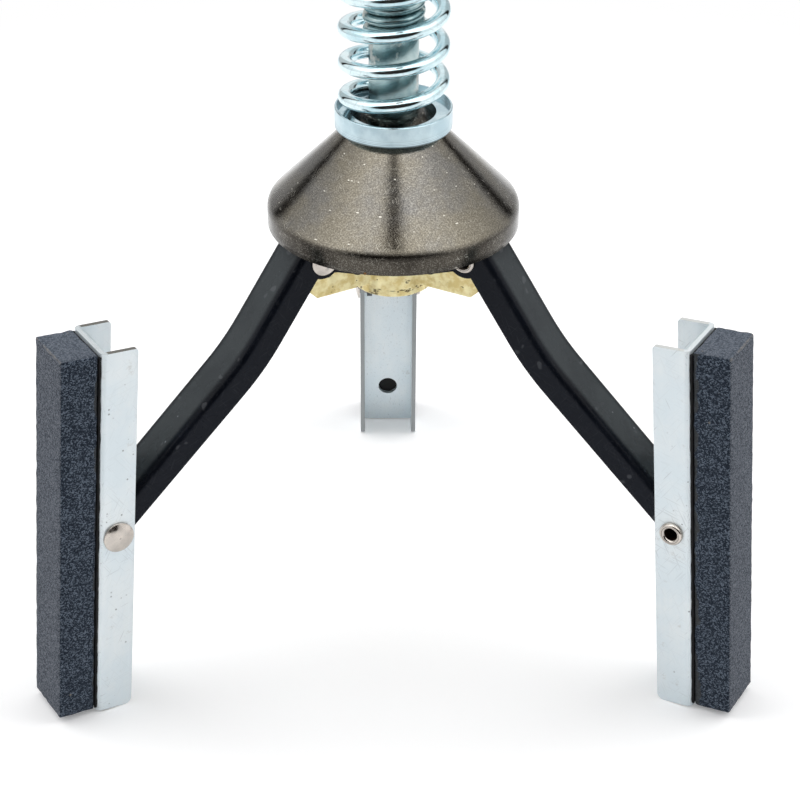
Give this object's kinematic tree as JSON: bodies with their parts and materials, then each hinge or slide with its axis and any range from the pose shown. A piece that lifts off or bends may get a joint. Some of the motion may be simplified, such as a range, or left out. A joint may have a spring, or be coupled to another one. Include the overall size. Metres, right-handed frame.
{
  "type": "cylinder hone",
  "caption": "Hand-drill cylinder hone: spring-loaded cone spreads pivoted channel arms that carry swivelling stones, with tension nut, flexible coil and drive shank.",
  "frame": {"origin": "on the tool's axis, at the root of the drive shank, where it leaves its collar", "axes": "+Z along the tool's axis, from the stones to the drive shank; +Y towards the arm that stands at the back of the picture; the picture looks roughly along +Y"},
  "size_m": [0.1816, 0.1573, 0.2893],
  "materials": {
    "steel_zinc": "bright zinc plate",
    "steel_dull": "satin grey",
    "cone_nickel": "dark nickel, bright",
    "zinc_gold": "pale gold cast zinc",
    "arm_black": "semi-gloss black",
    "holder_zinc": "pale zinc plate",
    "rivet_nickel": "warm nickel",
    "nut_steel": "zinc plate, knurled",
    "bond_black": "matt black adhesive",
    "stone_grit": "fine matt grit"
  },
  "bodies": {
    "spindle": {"spindle": "steel_dull", "hub": "zinc_gold", "pivot_rivet_1": "rivet_nickel", "pivot_rivet_2": "rivet_nickel", "pivot_rivet_3": "rivet_nickel", "flexible_coil": "steel_dull", "drive_shank": "steel_dull", "tension_spring": "steel_zinc"},
    "cone": {"pressure_cone": "cone_nickel", "spring_seat_ring": "steel_zinc"},
    "cup": {"upper_spring_cup": "steel_zinc"},
    "nut": {"adjusting_nut": "nut_steel"},
    "arm_1": {"arm_1": "arm_black"},
    "holder_1": {"stone_holder_1": "holder_zinc", "bond_1": "bond_black", "stone_1": "stone_grit", "holder_rivet_1": "rivet_nickel"},
    "arm_2": {"arm_2": "arm_black"},
    "holder_2": {"stone_holder_2": "holder_zinc", "bond_2": "bond_black", "stone_2": "stone_grit", "holder_rivet_2": "rivet_nickel"},
    "arm_3": {"arm_3": "arm_black"},
    "holder_3": {"stone_holder_3": "holder_zinc", "bond_3": "bond_black", "stone_3": "stone_grit", "holder_rivet_3": "rivet_nickel"}
  },
  "joints": [
    {"name": "arm_swing_1", "type": "hinge", "parent": "spindle", "child": "arm_1", "pos_m": [-0.01992, -0.0115, -0.1507], "axis": [0.5, -0.866, 0], "range_deg": [0, 46], "stiffness_Nm_per_rad": 1.2, "springref_deg": -68.75},
    {"name": "stone_level_1", "type": "hinge", "parent": "arm_1", "child": "holder_1", "pos_m": [-0.07101, -0.041, -0.209], "axis": [0.5, -0.866, 0], "range_deg": [-41.51, 0]},
    {"name": "arm_swing_2", "type": "hinge", "parent": "spindle", "child": "arm_2", "pos_m": [0, 0.023, -0.1507], "axis": [-1, 0, 0], "range_deg": [0, 46]},
    {"name": "stone_level_2", "type": "hinge", "parent": "arm_2", "child": "holder_2", "pos_m": [0, 0.082, -0.209], "axis": [-1, 0, 0], "range_deg": [-41.51, 0]},
    {"name": "arm_swing_3", "type": "hinge", "parent": "spindle", "child": "arm_3", "pos_m": [0.01992, -0.0115, -0.1507], "axis": [0.5, 0.866, 0], "range_deg": [0, 46]},
    {"name": "stone_level_3", "type": "hinge", "parent": "arm_3", "child": "holder_3", "pos_m": [0.07101, -0.041, -0.209], "axis": [0.5, 0.866, 0], "range_deg": [-41.51, 0]},
    {"name": "cone_slide", "type": "slide", "parent": "spindle", "child": "cone", "axis": [0, 0, 1], "range_m": [0, 0.00825], "deforming": ["tension_spring"]},
    {"name": "nut_travel", "type": "slide", "parent": "spindle", "child": "cup", "axis": [0, 0, 1], "range_m": [-0.018, 0.01], "deforming": ["tension_spring"]},
    {"name": "nut_turn", "type": "hinge", "parent": "cup", "child": "nut", "pos_m": [0, 0, -0.05501], "axis": [0, 0, 1], "range_deg": [-2400.5, 1333.83]}
  ],
  "couplings": [
    {"joint": "stone_level_1", "follows": "arm_swing_1", "ratio": -0.90217},
    {"joint": "arm_swing_2", "follows": "arm_swing_1", "ratio": 1},
    {"joint": "stone_level_2", "follows": "arm_swing_1", "ratio": -0.90217},
    {"joint": "arm_swing_3", "follows": "arm_swing_1", "ratio": 1},
    {"joint": "stone_level_3", "follows": "arm_swing_1", "ratio": -0.90217},
    {"joint": "cone_slide", "follows": "arm_swing_1", "m_per_rad": 0.010214},
    {"joint": "nut_turn", "follows": "nut_travel", "rad_per_m": 2327.1}
  ]
}
